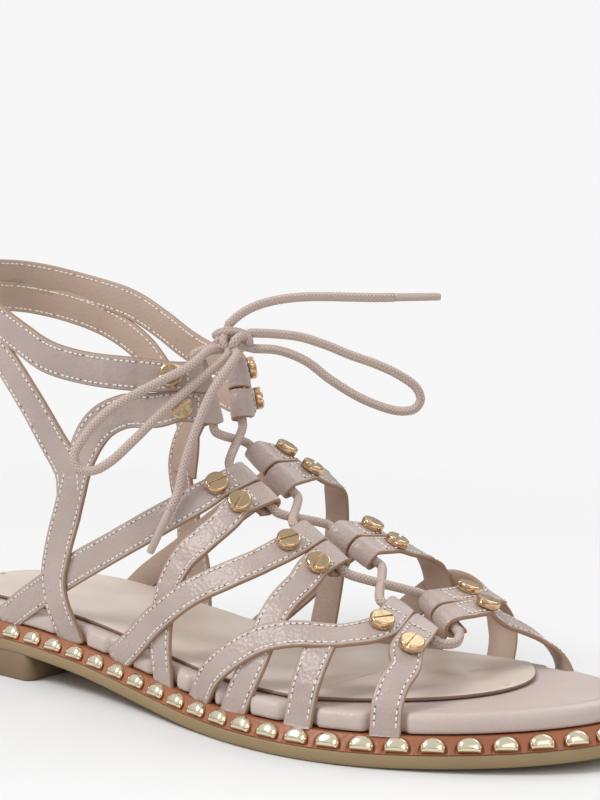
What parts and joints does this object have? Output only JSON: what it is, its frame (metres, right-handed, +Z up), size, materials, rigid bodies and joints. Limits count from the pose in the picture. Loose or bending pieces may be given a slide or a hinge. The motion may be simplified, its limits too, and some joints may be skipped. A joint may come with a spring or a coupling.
{
  "type": "sandal",
  "caption": "Flat lace-up gladiator sandal with crossing leather straps, folded lace loops, slotted screw studs, a studded welt and a low heel.",
  "frame": {"origin": "on the floor, under the middle of the heel", "axes": "+X to the toe, +Y to the big-toe side, +Z up"},
  "size_m": [0.264, 0.1045, 0.1368],
  "materials": {
    "outsole_rubber": "satin moulded",
    "welt_leather": "waxed edge with gold studs",
    "footbed_leather": "satin",
    "pad_leather": "satin",
    "strap_leather": "fine grain, satin",
    "screw_brass": "polished sides, brushed top",
    "lace_cord": "braided",
    "tip_plastic": "smooth"
  },
  "bodies": {
    "root": {"footbed": "footbed_leather", "lace_crossings": "lace_cord", "lace_end_inner": "lace_cord", "lace_end_outer": "lace_cord", "lace_knot": "lace_cord", "lace_loop_inner": "lace_cord", "lace_loop_outer": "lace_cord", "lace_tip_inner": "tip_plastic", "lace_tip_outer": "tip_plastic", "outsole": "outsole_rubber", "screw_ankle_back_inner": "screw_brass", "screw_ankle_back_outer": "screw_brass", "screw_ankle_front_inner": "screw_brass", "screw_ankle_front_outer": "screw_brass", "screw_collar_inner": "screw_brass", "screw_collar_outer": "screw_brass", "screw_instep_back_inner": "screw_brass", "screw_instep_back_outer": "screw_brass", "screw_instep_front_inner": "screw_brass", "screw_instep_front_outer": "screw_brass", "screw_toe_back_inner": "screw_brass", "screw_toe_back_outer": "screw_brass", "screw_toe_front_inner": "screw_brass", "screw_toe_front_outer": "screw_brass", "screw_upright_inner": "screw_brass", "screw_upright_outer": "screw_brass", "sock_pad": "pad_leather", "upper": "strap_leather", "welt": "welt_leather"}
  },
  "joints": []
}
